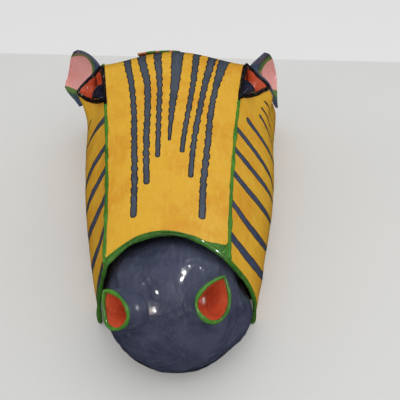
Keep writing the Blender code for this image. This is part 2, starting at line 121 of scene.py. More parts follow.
MANE_LIFT = 0.004
MANE_STAND = 0.0020
BRACE_Y = 0.225
FLAT_FOOT = 0.004
BELOW = (0, 0, -0.3)

BRACE_LOW, BRACE_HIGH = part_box("back_brace")
ORIGIN = Vector(((BRACE_LOW.x + BRACE_HIGH.x) / 2, (BRACE_LOW.y + BRACE_HIGH.y) / 2 - BRACE_Y, 0))
ORIGIN_ROW = np.array(ORIGIN)
SIDES = {"left": -1, "right": 1}


# --- camera, light and floor -------------------------------------------------------------
CAMERA_AT = Vector((0.024, -0.3822, 0.5009))
CAMERA_DOWN = math.radians(42)
LENS_MM = 54
SENSOR_MM = 36
SKY = (1.0, 0.99, 0.98, 1)
SKY_STRENGTH = 0.90
# The table glows faintly: painted light that lightens the shadows round the mask.
FLOOR_PAINTED_LIGHT = 0.14
FLOOR_HALF_SIZE = 6.0
TABLE_END_Y = 0.536
TABLE_END_SLOPE = -0.045
TABLE_END_BLUR = 0.002
LAMP_WATTS = 9.0
LAMP_SIZE = 0.06
LAMP_DISTANCE = 1.8
LAMP_AIM = (0, -0.15, 0.04)
LAMP_DIRECTIONS = ((-0.53, -0.58, 0.61), (0.59, 0.05, 0.81), (0.36, -0.40, 0.84))


def camera():
    """The fixed view, looking down at the mask from its muzzle's end."""
    data = bpy.data.cameras.new("camera")
    data.lens = LENS_MM
    data.sensor_width = SENSOR_MM
    data.clip_start = 0.02
    obj = bpy.data.objects.new("camera", data)
    obj.location = CAMERA_AT + ORIGIN
    obj.rotation_euler = (math.pi / 2 - CAMERA_DOWN, 0, 0)
    bpy.context.scene.collection.objects.link(obj)
    bpy.context.scene.camera = obj


def area_light(name, at, aim, size, watts, color=(1, 1, 1), soft=True):
    """A round lamp: a soft one only lights the paint, a hard one only glints in the varnish."""
    data = bpy.data.lights.new(name, "AREA")
    data.shape = "DISK"
    data.size = size
    data.energy = watts
    data.color = color
    obj = bpy.data.objects.new(name, data)
    obj.location = at
    obj.rotation_euler = (Vector(aim) - Vector(at)).to_track_quat("-Z", "Y").to_euler()
    bpy.context.scene.collection.objects.link(obj)
    obj.visible_glossy = not soft
    obj.visible_diffuse = soft


def studio():
    """A pale sky, two soft lights and three hard lamps."""
    world = bpy.data.worlds.new("studio")
    bpy.context.scene.world = world
    world.use_nodes = True
    background = world.node_tree.nodes["Background"]
    background.inputs["Color"].default_value = SKY
    background.inputs["Strength"].default_value = SKY_STRENGTH
    world.cycles_visibility.glossy = False
    area_light("ceiling", (0.1, 0.1, 1.7), (0, 0, 0), 1.8, 5.5)
    area_light("window", (1.6, -0.5, 1.2), (0, 0, 0.05), 0.8, 1.6, (0.96, 0.98, 1.0))
    for number, direction in enumerate(LAMP_DIRECTIONS):
        at = Vector(LAMP_AIM) + Vector(direction) * LAMP_DISTANCE
        area_light(f"lamp_{number}", at, LAMP_AIM, LAMP_SIZE, LAMP_WATTS, soft=False)
    bpy.context.scene.view_settings.view_transform = "Standard"


# --- node materials ----------------------------------------------------------------------
class Graph:
    """A node tree of one material, built a node at a time."""

    def __init__(self, name):
        self.material = bpy.data.materials.new(name)
        self.material.use_nodes = True
        self.tree = self.material.node_tree
        self.shader = self.tree.nodes["Principled BSDF"]

    def link(self, source, target):
        self.tree.links.new(source, target)

    def node(self, kind, inputs=None, **settings):
        node = self.tree.nodes.new(kind)
        for key, value in settings.items():
            setattr(node, key, value)
        self.fill(node, inputs or {})
        return node

    def fill(self, node, inputs):
        """Set each named input of a node to a value, or link it."""
        for key, value in inputs.items():
            if isinstance(value, bpy.types.NodeSocket):
                self.link(value, node.inputs[key])
            else:
                node.inputs[key].default_value = value

    def place(self, stretch=(1, 1, 1)):
        coordinates = self.node("ShaderNodeTexCoord").outputs["Object"]
        if stretch == (1, 1, 1):
            return coordinates
        return self.node("ShaderNodeMapping", {"Vector": coordinates, "Scale": stretch}).outputs[0]

    def noise(self, scale, detail=3.0, roughness=0.55, stretch=(1, 1, 1), distortion=0.0):
        return self.node("ShaderNodeTexNoise", {
            "Vector": self.place(stretch), "Scale": scale, "Detail": detail,
            "Roughness": roughness, "Distortion": distortion}).outputs["Fac"]

    def math(self, operation, first, second=0.0, third=None):
        inputs = {0: first, 1: second}
        if third is not None:
            inputs[2] = third
        return self.node("ShaderNodeMath", inputs, operation=operation).outputs[0]

    def ramp(self, value, low, high):
        return self.node("ShaderNodeMapRange", {"Value": value, "From Min": low, "From Max": high},
                         interpolation_type="SMOOTHSTEP").outputs["Result"]

    def mix(self, factor, first, second):
        node = self.node("ShaderNodeMix", data_type="RGBA")
        sockets = (node.inputs[0], node.inputs[6], node.inputs[7])
        for socket, value in zip(sockets, (factor, first, second)):
            if isinstance(value, bpy.types.NodeSocket):
                self.link(value, socket)
            elif isinstance(value, tuple):
                socket.default_value = (*value, 1)
            else:
                socket.default_value = value
        return node.outputs[2]

    def attribute(self, name):
        return self.node("ShaderNodeAttribute", attribute_name=name).outputs["Fac"]

    def bump(self, height, distance, strength=1.0, before=None):
        inputs = {"Height": height, "Distance": distance, "Strength": strength}
        if before is not None:
            inputs["Normal"] = before
        return self.node("ShaderNodeBump", inputs).outputs["Normal"]


# Each paint: its middle, dark and light shades.
YELLOW = ((0.72, 0.40, 0.022), (0.66, 0.295, 0.010), (0.76, 0.47, 0.06))
SLATE = ((0.068, 0.077, 0.128), (0.036, 0.042, 0.078), (0.105, 0.115, 0.170))
STRIPE = ((0.070, 0.088, 0.118), (0.046, 0.060, 0.085), (0.10, 0.12, 0.17))
CHEEK_STRIPE = ((0.062, 0.080, 0.140), (0.038, 0.052, 0.100), (0.09, 0.11, 0.18))
STRIPE_EDGE = (0.012, 0.012, 0.020)
GREEN = ((0.060, 0.225, 0.018), (0.030, 0.130, 0.010), (0.12, 0.32, 0.035))
RIM_GREEN = ((0.050, 0.190, 0.016), (0.020, 0.075, 0.008), (0.13, 0.32, 0.05))
MOSS = ((0.050, 0.115, 0.075), (0.035, 0.085, 0.060), (0.075, 0.15, 0.09))
LEAF = ((0.135, 0.215, 0.050), (0.090, 0.165, 0.045), (0.19, 0.27, 0.075))
EAR_SLATE = ((0.062, 0.092, 0.180), (0.036, 0.055, 0.11), (0.08, 0.15, 0.22))
BLACK = ((0.012, 0.009, 0.010), (0.006, 0.005, 0.006), (0.03, 0.02, 0.02))
NOSTRIL_RED = ((0.76, 0.115, 0.040), (0.52, 0.058, 0.020), (0.82, 0.22, 0.09))
SOCKET_RED = ((0.66, 0.085, 0.022), (0.40, 0.035, 0.012), (0.76, 0.15, 0.04))
# Painted shade: a darker red laid along the valley of the eye socket's fold, where shade falls in the crease.
CREASE_SHADE_RED = ((0.13, 0.014, 0.006), (0.07, 0.008, 0.004), (0.25, 0.03, 0.012))
PINK = ((0.80, 0.37, 0.34), (0.74, 0.28, 0.255), (0.82, 0.46, 0.43))
ORANGE = ((0.58, 0.20, 0.075), (0.50, 0.14, 0.045), (0.64, 0.27, 0.12))
EYE_BLUE = ((0.022, 0.022, 0.045), (0.008, 0.008, 0.015), (0.05, 0.05, 0.09))
CARD = ((0.36, 0.27, 0.18), (0.26, 0.19, 0.12), (0.46, 0.37, 0.27))
VARNISH_SHINE = 0.30
DRY_IOR = 1.5
WET_IOR = 1.9


def mottled(graph, shades, seed=0.0):
    """Brushed paint: a middle shade with darker and lighter blotches and fine streaks."""
    middle, dark, light = shades
    broad = graph.ramp(graph.noise(22 + seed, 5, 0.65, distortion=0.5), 0.42, 0.66)
    fine = graph.ramp(graph.noise(110 + seed, 5, 0.7, distortion=0.6), 0.48, 0.74)
    streak = graph.ramp(graph.noise(60 + seed, 4, 0.6, stretch=(6, 0.7, 6)), 0.48, 0.74)
    color = graph.mix(graph.math("MULTIPLY", broad, 0.85), middle, dark)
    color = graph.mix(graph.math("MULTIPLY", fine, 0.45), color, dark)
    return graph.mix(graph.math("MULTIPLY", streak, 0.6), color, light)


def varnish(graph, roughness=0.40, coat=0.35, coat_roughness=0.10, lumps=1.0, sparkle=1.0):
    """Varnish over hand-laid paper: layers of bump under a thin clear coat."""
    normal = graph.bump(graph.noise(75, 3, 0.5), 0.0016 * lumps, 0.55)
    normal = graph.bump(graph.noise(260, 4, 0.55), 0.0005 * lumps, 0.55, normal)
    normal = graph.bump(graph.noise(420, 3, 0.6, stretch=(3, 0.35, 3)), 0.00022, 0.5, normal)
    soft = graph.bump(graph.noise(85, 3, 0.5), 0.0016 * lumps, 0.45)
    soft = graph.bump(graph.noise(230, 2, 0.5), 0.0005 * lumps, 0.45 * sparkle, soft)
    uneven = graph.math("MULTIPLY_ADD", graph.noise(90, 3, 0.6), 0.22, roughness - 0.1)
    graph.fill(graph.shader, {
        "Normal": normal, "Coat Normal": soft, "Roughness": uneven, "Coat Weight": coat,
        "Coat Roughness": coat_roughness, "Coat IOR": WET_IOR if sparkle > 1 else DRY_IOR,
        "Specular IOR Level": VARNISH_SHINE})


def stroke(graph, color, distance, shades, edge=None, soft=0.0002, wobble=0.0006):
    """Lay a painted stroke over a colour: distance is metres inside its edge."""
    wander = graph.math("MULTIPLY_ADD", graph.noise(520, 3, 0.6), wobble * 2, -wobble)
    inside = graph.math("ADD", distance, wander)
    fill = mottled(graph, shades, 9.0)
    if edge is not None:
        fill = graph.mix(graph.ramp(inside, 0.0005, 0.0017), edge, fill)
    return graph.mix(graph.ramp(inside, -soft, soft), color, fill)


def painted(name, shades, strokes=(), **finish):
    """A varnished painted surface with strokes laid over its ground colour."""
    graph = Graph(name)
    color = mottled(graph, shades)
    for attribute, stroke_shades, edge, *soft in strokes:
        color = stroke(graph, color, graph.attribute(attribute), stroke_shades, edge, *soft)
    graph.link(color, graph.shader.inputs["Base Color"])
    varnish(graph, **finish)
    return graph.material


def raw_card(name):
    """The unpainted inside: torn brown paper laid in patches."""
    graph = Graph(name)
    patches = graph.node("ShaderNodeTexVoronoi", {
        "Vector": graph.place(), "Scale": 34.0, "Randomness": 1.0})
    tone = graph.ramp(patches.outputs["Color"], 0.1, 0.9)
    color = graph.mix(tone, CARD[1], CARD[2])
    fibre = graph.ramp(graph.noise(700, 5, 0.7, stretch=(1, 0.2, 1)), 0.35, 0.75)
    color = graph.mix(graph.math("MULTIPLY", fibre, 0.45), color, CARD[0])
    normal = graph.bump(patches.outputs["Distance"], 0.0008, 0.5)
    normal = graph.bump(graph.noise(420, 5, 0.7), 0.0004, 0.6, normal)
    graph.fill(graph.shader, {"Base Color": color, "Normal": normal, "Roughness": 0.85})
    return graph.material


# --- the shell's shape, for whole arrays of places ---------------------------------------
def seam_height(y):
    """Height of the seams above the table, in front of the crown."""
    return MUZZLE_HEIGHT + 0.17 * y - 0.16 * y * y


CROWN_HEIGHT = seam_height(CROWN_Y)
CROWN_ARC = math.pi / 2 * math.sqrt((CROWN_DEPTH ** 2 + CROWN_HEIGHT ** 2) / 2)
SHELL_END = CROWN_Y + CROWN_ARC


def foot_half_width(y):
    """Half width of the mask where the cheeks meet the table."""
    return FOOT_HALF_WIDTH + 0.225 * y - 0.25 * y * y


def seam(s):
    """Half width, y and z of the seam at s, the distance along the strip from the arch."""
    turn = np.clip((s - CROWN_Y) / CROWN_ARC, 0, None) * math.pi / 2
    bent = s > CROWN_Y
    y = np.where(bent, CROWN_Y + CROWN_DEPTH * np.sin(turn), s)
    z = np.where(bent, CROWN_HEIGHT * np.cos(turn), seam_height(s))
    narrow = MUZZLE_HALF_WIDTH + 0.055 * y + 0.2 * y * y
    spread = np.where(bent, (foot_half_width(y) - narrow) * (1 - np.cos(turn)) ** 2, 0)
    return narrow + spread, y, z


def place(x, y, z):
    """Points of the leaning shell in the row frame."""
    x, y, z = np.broadcast_arrays(x, y, z)
    return np.stack([x + LEAN * z, y, z], axis=-1) + ORIGIN_ROW


def strip_points(across, s, lift=0.0):
    """The strip's outside: across is -1..1 between the seams, s the distance along it."""
    half_width, y, z = seam(s)
    _, y0, z0 = seam(s - 0.002)
    _, y1, z1 = seam(s + 0.002)
    length = np.hypot(y1 - y0, z1 - z0)
    flat = CROWN_FLATTENING * np.clip((s - 0.20) / 0.06, 0, 1)
    rise = STRIP_CAMBER * (1 - across * across) ** (1 + flat) + lift
    return place(half_width * across, y - (z1 - z0) / length * rise, z + (y1 - y0) / length * rise)


def cheek_points(side, s, down):
    """A cheek's outside: down is 0 at the seam and 1 at the table."""
    half_width, y, z = seam(s)
    foot = foot_half_width(y)
    swell = CHEEK_BULGE[side] + BULGE_GROWTH[side] * y - 0.37 * y * y
    swell = swell + BACK_BULGE * np.maximum(0.0, y - CROWN_Y) / CROWN_DEPTH
    bulge = swell * np.sin(math.pi * down) * np.minimum(1.0, z / FULL_BULGE_HEIGHT)
    along, below = (s - FLARE_PLACE[0]) / FLARE_SIZE[0], (down - FLARE_PLACE[1]) / FLARE_SIZE[1]
    flare = CHEEK_FLARE[side] * np.exp(-along ** 2 - below ** 2)
    x = half_width + (foot - half_width) * down + bulge + flare
    return place(side * x, y, z * (1 - down))


def cheek_normals(side, s, down):
    """Unit normals of a cheek, pointing out."""
    step = 0.004
    along = cheek_points(side, s + step, down) - cheek_points(side, s - step, down)
    below = cheek_points(side, s, down + step) - cheek_points(side, s, down - step)
    normal = np.cross(along, below)
    normal /= np.linalg.norm(normal, axis=-1, keepdims=True)
    return normal * np.sign(normal[..., :1] * side)


def bowl_centre():
    return place(BOWL_X, BOWL_Y, BOWL_RADIUS * math.cos(BOWL_TILT))


def arch_front(across, side):
    """How far along the strip its front edge lies."""
    return -CORNER_REACH[side] * np.abs(across) ** 2.2


def cheek_front(side, down):
    """How far along the seam a cheek's front edge lies."""
    return -CORNER_REACH[side] + (CORNER_REACH[side] - FOOT_REACH) * down


# --- mesh helpers ------------------------------------------------------------------------
def rough(points, scale, seed):
    """Smooth noise in -1..1 at each point, features about 1/scale metres across."""
    flat = points.reshape(-1, 3) * scale + seed
    values = np.array([noise.noise(Vector(p)) for p in flat])
    return values.reshape(points.shape[:-1])


def hand_made(points, normals, amount=1.0, seed=0.0):
    """Lumps that layered paper has: broad waves, and small wrinkles."""
    height = 0.0010 * rough(points, 17, seed) + 0.00045 * rough(points, 52, seed + 7)
    height = height + 0.00014 * rough(points, 170, seed + 13)
    return points + normals * (height * amount)[..., None]


def boxed(points, inset=0.0):
    """Points clipped to the CAD model's own box."""
    return np.clip(points, np.array(CAD_BOX[0]) + inset, np.array(CAD_BOX[1]) - inset)


def grid_normals(points):
    """Unit normals of a grid of points, by its own rows and columns."""
    normal = np.cross(np.gradient(points, axis=0), np.gradient(points, axis=1))
    size = np.linalg.norm(normal, axis=-1, keepdims=True)
    return normal / np.maximum(size, 1e-12)


def turned_away(points, normals, inside):
    """The same normals, all flipped if most of them look towards a point."""
    away = np.sum(normals * (points - np.array(inside)))
    return normals if away > 0 else -normals


def edit_mesh(mesh, change):
    """Make one change to a mesh by way of a bmesh."""
    bm = bmesh.new()
    bm.from_mesh(mesh)
    change(bm)
    bm.to_mesh(mesh)
    bm.free()


def face_out(bm):
    bmesh.ops.recalc_face_normals(bm, faces=bm.faces)


def close_ends(bm):
    """Join a ring's last row to its first."""
    bmesh.ops.remove_doubles(bm, verts=bm.verts, dist=1e-6)
    bmesh.ops.recalc_face_normals(bm, faces=bm.faces)


def drop_loose(bm):
    """Remove the points that no face uses."""
    loose = [v for v in bm.verts if not v.link_faces]
    bmesh.ops.delete(bm, geom=loose, context="VERTS")


def grid_mesh(name, points, closed=False, cap_start=False, cap_end=False, inside=None, skip=None):
    """A quad mesh through a grid of points, faces looking away from the point inside."""
    rows, columns = points.shape[:2]
    verts = [tuple(p) for p in points.reshape(-1, 3)]
    faces = []
    last = columns if closed else columns - 1
    for r in range(rows - 1):
        for c in range(last):
            if skip is not None and skip[r, c]:
                continue
            d = (c + 1) % columns
            near, far = r * columns, (r + 1) * columns
            faces.append((near + c, near + d, far + d, far + c))
    for wanted, row in ((cap_start, 0), (cap_end, rows - 1)):
        if wanted:
            tip = len(verts)
            verts.append(tuple(points[row].mean(axis=0)))
            ring = [row * columns + c for c in range(columns)]
            faces += [(a, b, tip) if row == 0 else (b, a, tip) for a, b in zip(ring, ring[1:] + ring[:1])]
    mesh = bpy.data.meshes.new(name)
    mesh.from_pydata(verts, [], faces)
    if cap_start or cap_end:
        edit_mesh(mesh, face_out)
    if inside is not None:
        normals = np.array([p.normal for p in mesh.polygons])
        centres = np.array([p.center for p in mesh.polygons])
        areas = np.array([p.area for p in mesh.polygons])
        if np.sum(areas * np.sum(normals * (centres - np.array(inside)), axis=1)) < 0:
            mesh.flip_normals()
    mesh.shade_smooth()
    return mesh


def add_piece(name, mesh, slot, materials, *nodes):
    """An object on the root body that takes the place of the given CAD nodes."""
    obj = bpy.data.objects.new(name, mesh)
    bpy.context.scene.collection.objects.link(obj)
    for material in materials:
        obj.data.materials.append(material)
    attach(obj, "root")
    if nodes:
        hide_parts(*nodes)
    return obj


def thicken(obj, thickness, offset=-1.0, inner=0, rim=0):
    """Give a sheet its thickness, with other materials inside and on its edges."""
    solidify = obj.modifiers.new("thickness", "SOLIDIFY")
    solidify.thickness = thickness
    solidify.offset = offset
    solidify.material_offset = inner
    solidify.material_offset_rim = rim
    solidify.use_even_offset = False


def stand_flat(obj):
    """Make an object's thickness part of its mesh, clipped to the CAD model's box."""
    depsgraph = bpy.context.evaluated_depsgraph_get()
    mesh = bpy.data.meshes.new_from_object(obj.evaluated_get(depsgraph))
    obj.modifiers.clear()
    obj.data = mesh
    places = np.empty(len(mesh.vertices) * 3)
    mesh.vertices.foreach_get("co", places)
    mesh.vertices.foreach_set("co", boxed(places.reshape(-1, 3)).ravel())


def store(mesh, name, values):
    """Put a number at each point of a mesh for its material to read."""
    data = np.zeros(len(mesh.vertices), np.float32)
    data[:values.size] = values.reshape(-1)
    mesh.attributes.new(name, "FLOAT", "POINT").data.foreach_set("value", data)


def bowed(points, count):
    """Evenly stepped points of a smooth curve through the given ones."""
    points = np.array(points, float)
    last = len(points) - 1
    where = np.linspace(0, last, count)
    i = np.minimum(where.astype(int), last - 1)
    t = (where - i)[:, None]
    p0, p1 = points[np.maximum(i - 1, 0)], points[i]
    p2, p3 = points[i + 1], points[np.minimum(i + 2, last)]
    return 0.5 * (2 * p1 + (p2 - p0) * t + (2 * p0 - 5 * p1 + 4 * p2 - p3) * t * t
                  + (3 * p1 - p0 - 3 * p2 + p3) * t ** 3)


def lofted(rings, count):
    """A fine closed grid through a stack of rings, and its normals."""
    fine = np.stack([bowed(rings[:, column], count) for column in range(rings.shape[1])], axis=1)
    return fine, grid_normals(np.concatenate([fine, fine[:, :1]], axis=1))[:, :-1]


def resample(path, count, closed=False):
    """Points at even distances along a path."""
    path = np.array(path, float)
    if closed:
        path = np.vstack([path, path[:1]])
    along = np.concatenate([[0], np.cumsum(np.linalg.norm(np.diff(path, axis=0), axis=1))])
    wanted = np.linspace(0, along[-1], count + 1 if closed else count)
    out = np.stack([np.interp(wanted, along, path[:, k]) for k in range(3)], axis=1)
    return out[:-1] if closed else out


def tube_mesh(name, path, width, depth, facing, closed=False, sides=16, seed=0.0, lumps=0.12):
    """A hand-rolled strip along a path: width lies along the surface, depth stands off it.

    facing gives the direction that the strip's back looks away from, one for each point."""
    path = np.array(path, float)
    count = len(path)
    if closed:
        tangent = np.roll(path, -1, axis=0) - np.roll(path, 1, axis=0)
    else:
        tangent = np.gradient(path, axis=0)
    tangent /= np.linalg.norm(tangent, axis=1, keepdims=True)
    up = np.broadcast_to(np.array(facing, float), path.shape)
    up = up - tangent * np.sum(up * tangent, axis=1, keepdims=True)
    up = up / np.linalg.norm(up, axis=1, keepdims=True)
    across = np.cross(tangent, up)
    angle = np.arange(sides) * 2 * math.pi / sides
    width = np.broadcast_to(np.asarray(width, float), (count,))
    depth = np.broadcast_to(np.asarray(depth, float), (count,))
    ring = (across[:, None, :] * (np.cos(angle)[None, :, None] * width[:, None, None] / 2)
            + up[:, None, :] * (np.sin(angle)[None, :, None] * depth[:, None, None] / 2))
    points = path[:, None, :] + ring
    swell = 1 + lumps * 2.2 * rough(points, 95, seed) + lumps * rough(points, 320, seed + 3)
    points = path[:, None, :] + ring * swell[..., None]
    points[..., 2] = np.maximum(points[..., 2], 0.0)
    if closed:
        points = np.concatenate([points, points[:1]], axis=0)
    mesh = grid_mesh(name, points, closed=True, cap_start=not closed, cap_end=not closed)
    if closed:
        edit_mesh(mesh, close_ends)
        mesh.shade_smooth()
    return mesh


# --- painted stripes ---------------------------------------------------------------------
# Each face stripe: its middle as a share of the half width at the stations below, its half
# widths at the crown, the waist and the tip, and the tip's distance from the arch.
STRIPE_STATIONS = (0.06, 0.11, 0.16, 0.21, 0.27, 0.40)
STRIPE_WAIST = 0.20
STRIPE_CROWN = 0.27
FACE_STRIPES = (
    ((-0.535, -0.55, -0.56, -0.595, -0.66, -0.70), (0.0047, 0.0034, 0.0033), 0.018),
    ((-0.337, -0.358, -0.347, -0.36, -0.45, -0.47), (0.0056, 0.0038, 0.0032), 0.056),
    ((-0.17, -0.171, -0.17, -0.173, -0.217, -0.23), (0.0053, 0.0032, 0.0026), 0.090),
    ((0.006, 0.006, 0.028, 0.06, 0.07, 0.08), (0.0078, 0.0050, 0.0016), 0.113),
    ((0.20, 0.22, 0.278, 0.322, 0.335, 0.35), (0.0044, 0.0032, 0.0025), 0.097),
    ((0.362, 0.385, 0.443, 0.497, 0.555, 0.59), (0.0052, 0.0035, 0.0027), 0.065),
    ((0.566, 0.603, 0.615, 0.658, 0.718, 0.76), (0.0066, 0.0034, 0.0033), 0.017),
)
# Each cheek stripe: the distances along the seam where it passes the three depths below,
# its half widths there, and how far down it starts.
CHEEK_STATIONS = (0.0, 0.35, 0.8)
CHEEK_STRIPES = {
    1: (((0.009, 0.007, 0.029), (0.0052, 0.0058, 0.0046), 0.0),
        ((0.047, 0.041, 0.067), (0.0045, 0.0050, 0.0038), 0.0),
        ((0.086, 0.081, 0.105), (0.0047, 0.0046, 0.0026), 0.0),
        ((0.119, 0.115, 0.134), (0.0044, 0.0045, 0.0021), 0.0),
        ((0.149, 0.145, 0.150), (0.0044, 0.0042, 0.0018), 0.0),
        ((0.183, 0.178, 0.197), (0.0048, 0.0038, 0.0018), 0.13),
        ((0.206, 0.212, 0.216), (0.0034, 0.0024, 0.0013), 0.26),
        ((0.218, 0.229, 0.262), (0.0020, 0.0016, 0.0011), 0.25),
        ((0.226, 0.245, 0.290), (0.0016, 0.0013, 0.0010), 0.25)),
    -1: (((-0.014, -0.013, -0.005), (0.0045, 0.0045, 0.0040), 0.0),
         ((0.021, 0.016, 0.036), (0.0052, 0.0048, 0.0045), 0.0),
         ((0.058, 0.054, 0.075), (0.0054, 0.0056, 0.0050), 0.0),
         ((0.091, 0.092, 0.106), (0.0050, 0.0053, 0.0045), 0.0),
         ((0.123, 0.128, 0.136), (0.0048, 0.0052, 0.0026), 0.0),
         ((0.165, 0.181, 0.186), (0.0060, 0.0022, 0.0014), 0.03),
         ((0.200, 0.209, 0.220), (0.0016, 0.0014, 0.0010), 0.28)),
}


def wavy(s, seed, period=0.0135):
    """The unsteady edge of a hand-painted stripe, about -1..1."""
    flat = s.reshape(-1)
    drift = np.array([noise.noise(Vector((v * 45, seed, 0))) for v in flat]).reshape(s.shape)
    long_wave = np.sin(2 * math.pi * s / period + seed * 2.4 + drift * 4.0)
    ripple = np.sin(2 * math.pi * s / (period * 0.43) + seed * 5.1 + drift * 2.0)
    return long_wave * (0.65 + 0.6 * drift) + 0.35 * ripple


def face_ink(across, s):
    """Metres inside the nearest face stripe's edge, negative outside."""
    half_width = seam(s)[0]
    best = np.full(across.shape, -0.02)
    for number, (middles, (wide, waist, narrow), end) in enumerate(FACE_STRIPES):
        smooth = bowed(np.stack([STRIPE_STATIONS, middles], axis=1), 60)
        centre = np.interp(s, smooth[:, 0], smooth[:, 1])
        width = np.interp(s, (end, STRIPE_WAIST, STRIPE_CROWN), (narrow, waist, wide))
        sway = 0.00075 * np.clip((s - end) / 0.04, 0.15, 1)
        lateral = (across - centre) * half_width
        edge = width + sway * np.where(lateral > 0, wavy(s, number + 1.3), wavy(s, number + 6.1))
        past = np.clip(end + width - s, 0, None)
        best = np.maximum(best, edge - np.hypot(lateral, past))
    return best


def through(values, down):
    """A smooth curve through three values at the cheek's three stations."""
    a, b, c = CHEEK_STATIONS
    return (values[0] * (down - b) * (down - c) / ((a - b) * (a - c))
            + values[1] * (down - a) * (down - c) / ((b - a) * (b - c))
            + values[2] * (down - a) * (down - b) / ((c - a) * (c - b)))


def cheek_ink(side, s, down):
    """The same for a cheek's slanting stripes."""
    height = seam(s)[2]
    best = np.full(s.shape, -0.02)
    for number, (places, widths, top) in enumerate(CHEEK_STRIPES[side]):
        lateral = s - through(places, down)
        past = np.clip(top - down, 0, None) * height
        width = np.interp(down, CHEEK_STATIONS, widths)
        edge = width + 0.0003 * wavy(down * height, number + 2.7, 0.019)
        best = np.maximum(best, edge - np.hypot(lateral, past))
    return best


# --- the shell ---------------------------------------------------------------------------
NEVER = 9.0
BEAD_SIDES = 16


def face_strip():
    """The forehead and nose, striped, with green and black edges."""
    across = np.linspace(-1, 1, 161)
    squeeze = 1 - 0.0005 / MUZZLE_HALF_WIDTH
    sides = np.where(across > 0, 1, -1)
    start = np.array([arch_front(a, s) for a, s in zip(across, sides)])
    part = np.linspace(0, 1, 350)
    s = start[:, None] + (SHELL_END - start[:, None]) * part[None, :]
    grid = np.broadcast_to(across[:, None], s.shape)
    points = strip_points(grid * squeeze, s)
    normals = turned_away(points, grid_normals(points), BELOW)
    shape = hand_made(points, normals, 0.8, 1.0)
    keep = np.clip(points[..., 2:] / FLAT_FOOT, 0, 1)
    shape = boxed(points + (shape - points) * keep)
    mesh = grid_mesh("face_strip", shape, inside=BELOW)
    store(mesh, "ink", face_ink(grid, s))
    half_width = seam(s)[0]
    margin = 0.0012 + 0.0006 * rough(points, 60, 3)
    corner = np.where(grid > 0, 0.0125, 0.004)
    corner_reach = corner * np.clip((np.abs(grid) - 0.62) / 0.36, 0, 1) ** 1.3
    front = margin + corner_reach - (s - start[:, None])
    to_edge = (1 - np.abs(grid)) * half_width
    eye_start = np.where(grid > 0, EYE_FRONT[1][0], EYE_FRONT[-1][0])
    eye_end = np.where(grid > 0, EYE_BACK[1][0], EYE_BACK[-1][0])
    beside_eye = (s > eye_start - 0.004) & (s < eye_end + 0.004)
    store(mesh, "leaf", np.maximum(front, np.where(s < eye_start, 0.0006 - to_edge, -0.01)))
    store(mesh, "lid", np.where(beside_eye, 0.0009 - to_edge, -0.01))
    strokes = (("ink", STRIPE, STRIPE_EDGE), ("leaf", GREEN, None), ("lid", BLACK, None))
    paint = painted("face_paint", YELLOW, strokes)
    obj = add_piece("face_strip_paper", mesh, "painted_yellow", [paint, INSIDE_CARD], "face_strip")
    thicken(obj, WALL, inner=1)
    stand_flat(obj)


def eye_outline(side, count=14):
    """The eye's edge as (distance along the seam, part of the way down the cheek)."""
    front, outer, back = (np.array(spot[side]) for spot in (EYE_FRONT, EYE_OUTER, EYE_BACK))
    middle = np.array(((front[0] + back[0]) / 2, front[1]))
    t = np.arange(count)[:, None] / count

    def bow(a, b, c):
        return (1 - t) ** 2 * a + 2 * t * (1 - t) * b + t * t * c

    return np.vstack([bow(front, np.array(EYE_LOWER_BOW[side]), outer),
                      bow(outer, np.array(EYE_UPPER_BOW[side]), back), bow(back, middle, front)])


def signed_to_outline(s, down, outline, scale=0.13):
    """Distance to a closed outline, negative inside, and the nearest place on it."""
    p = np.stack([s, down * scale], axis=-1)
    o = outline * np.array([1, scale])
    best = np.full(s.shape, 1e9)
    near = np.zeros(p.shape)
    inside = np.zeros(s.shape, bool)
    for a, b in zip(o, np.roll(o, -1, axis=0)):
        t = np.clip(np.sum((p - a) * (b - a), axis=-1) / np.sum((b - a) ** 2), 0, 1)
        q = a + t[..., None] * (b - a)
        d = np.linalg.norm(p - q, axis=-1)
        near = np.where((d < best)[..., None], q, near)
        best = np.minimum(best, d)
        crosses = (a[1] > p[..., 1]) != (b[1] > p[..., 1])
        if b[1] != a[1]:
            at = (b[0] - a[0]) * (p[..., 1] - a[1]) / (b[1] - a[1]) + a[0]
            inside ^= crosses & (p[..., 0] < at)
    return np.where(inside, -best, best), near / np.array([1, scale])


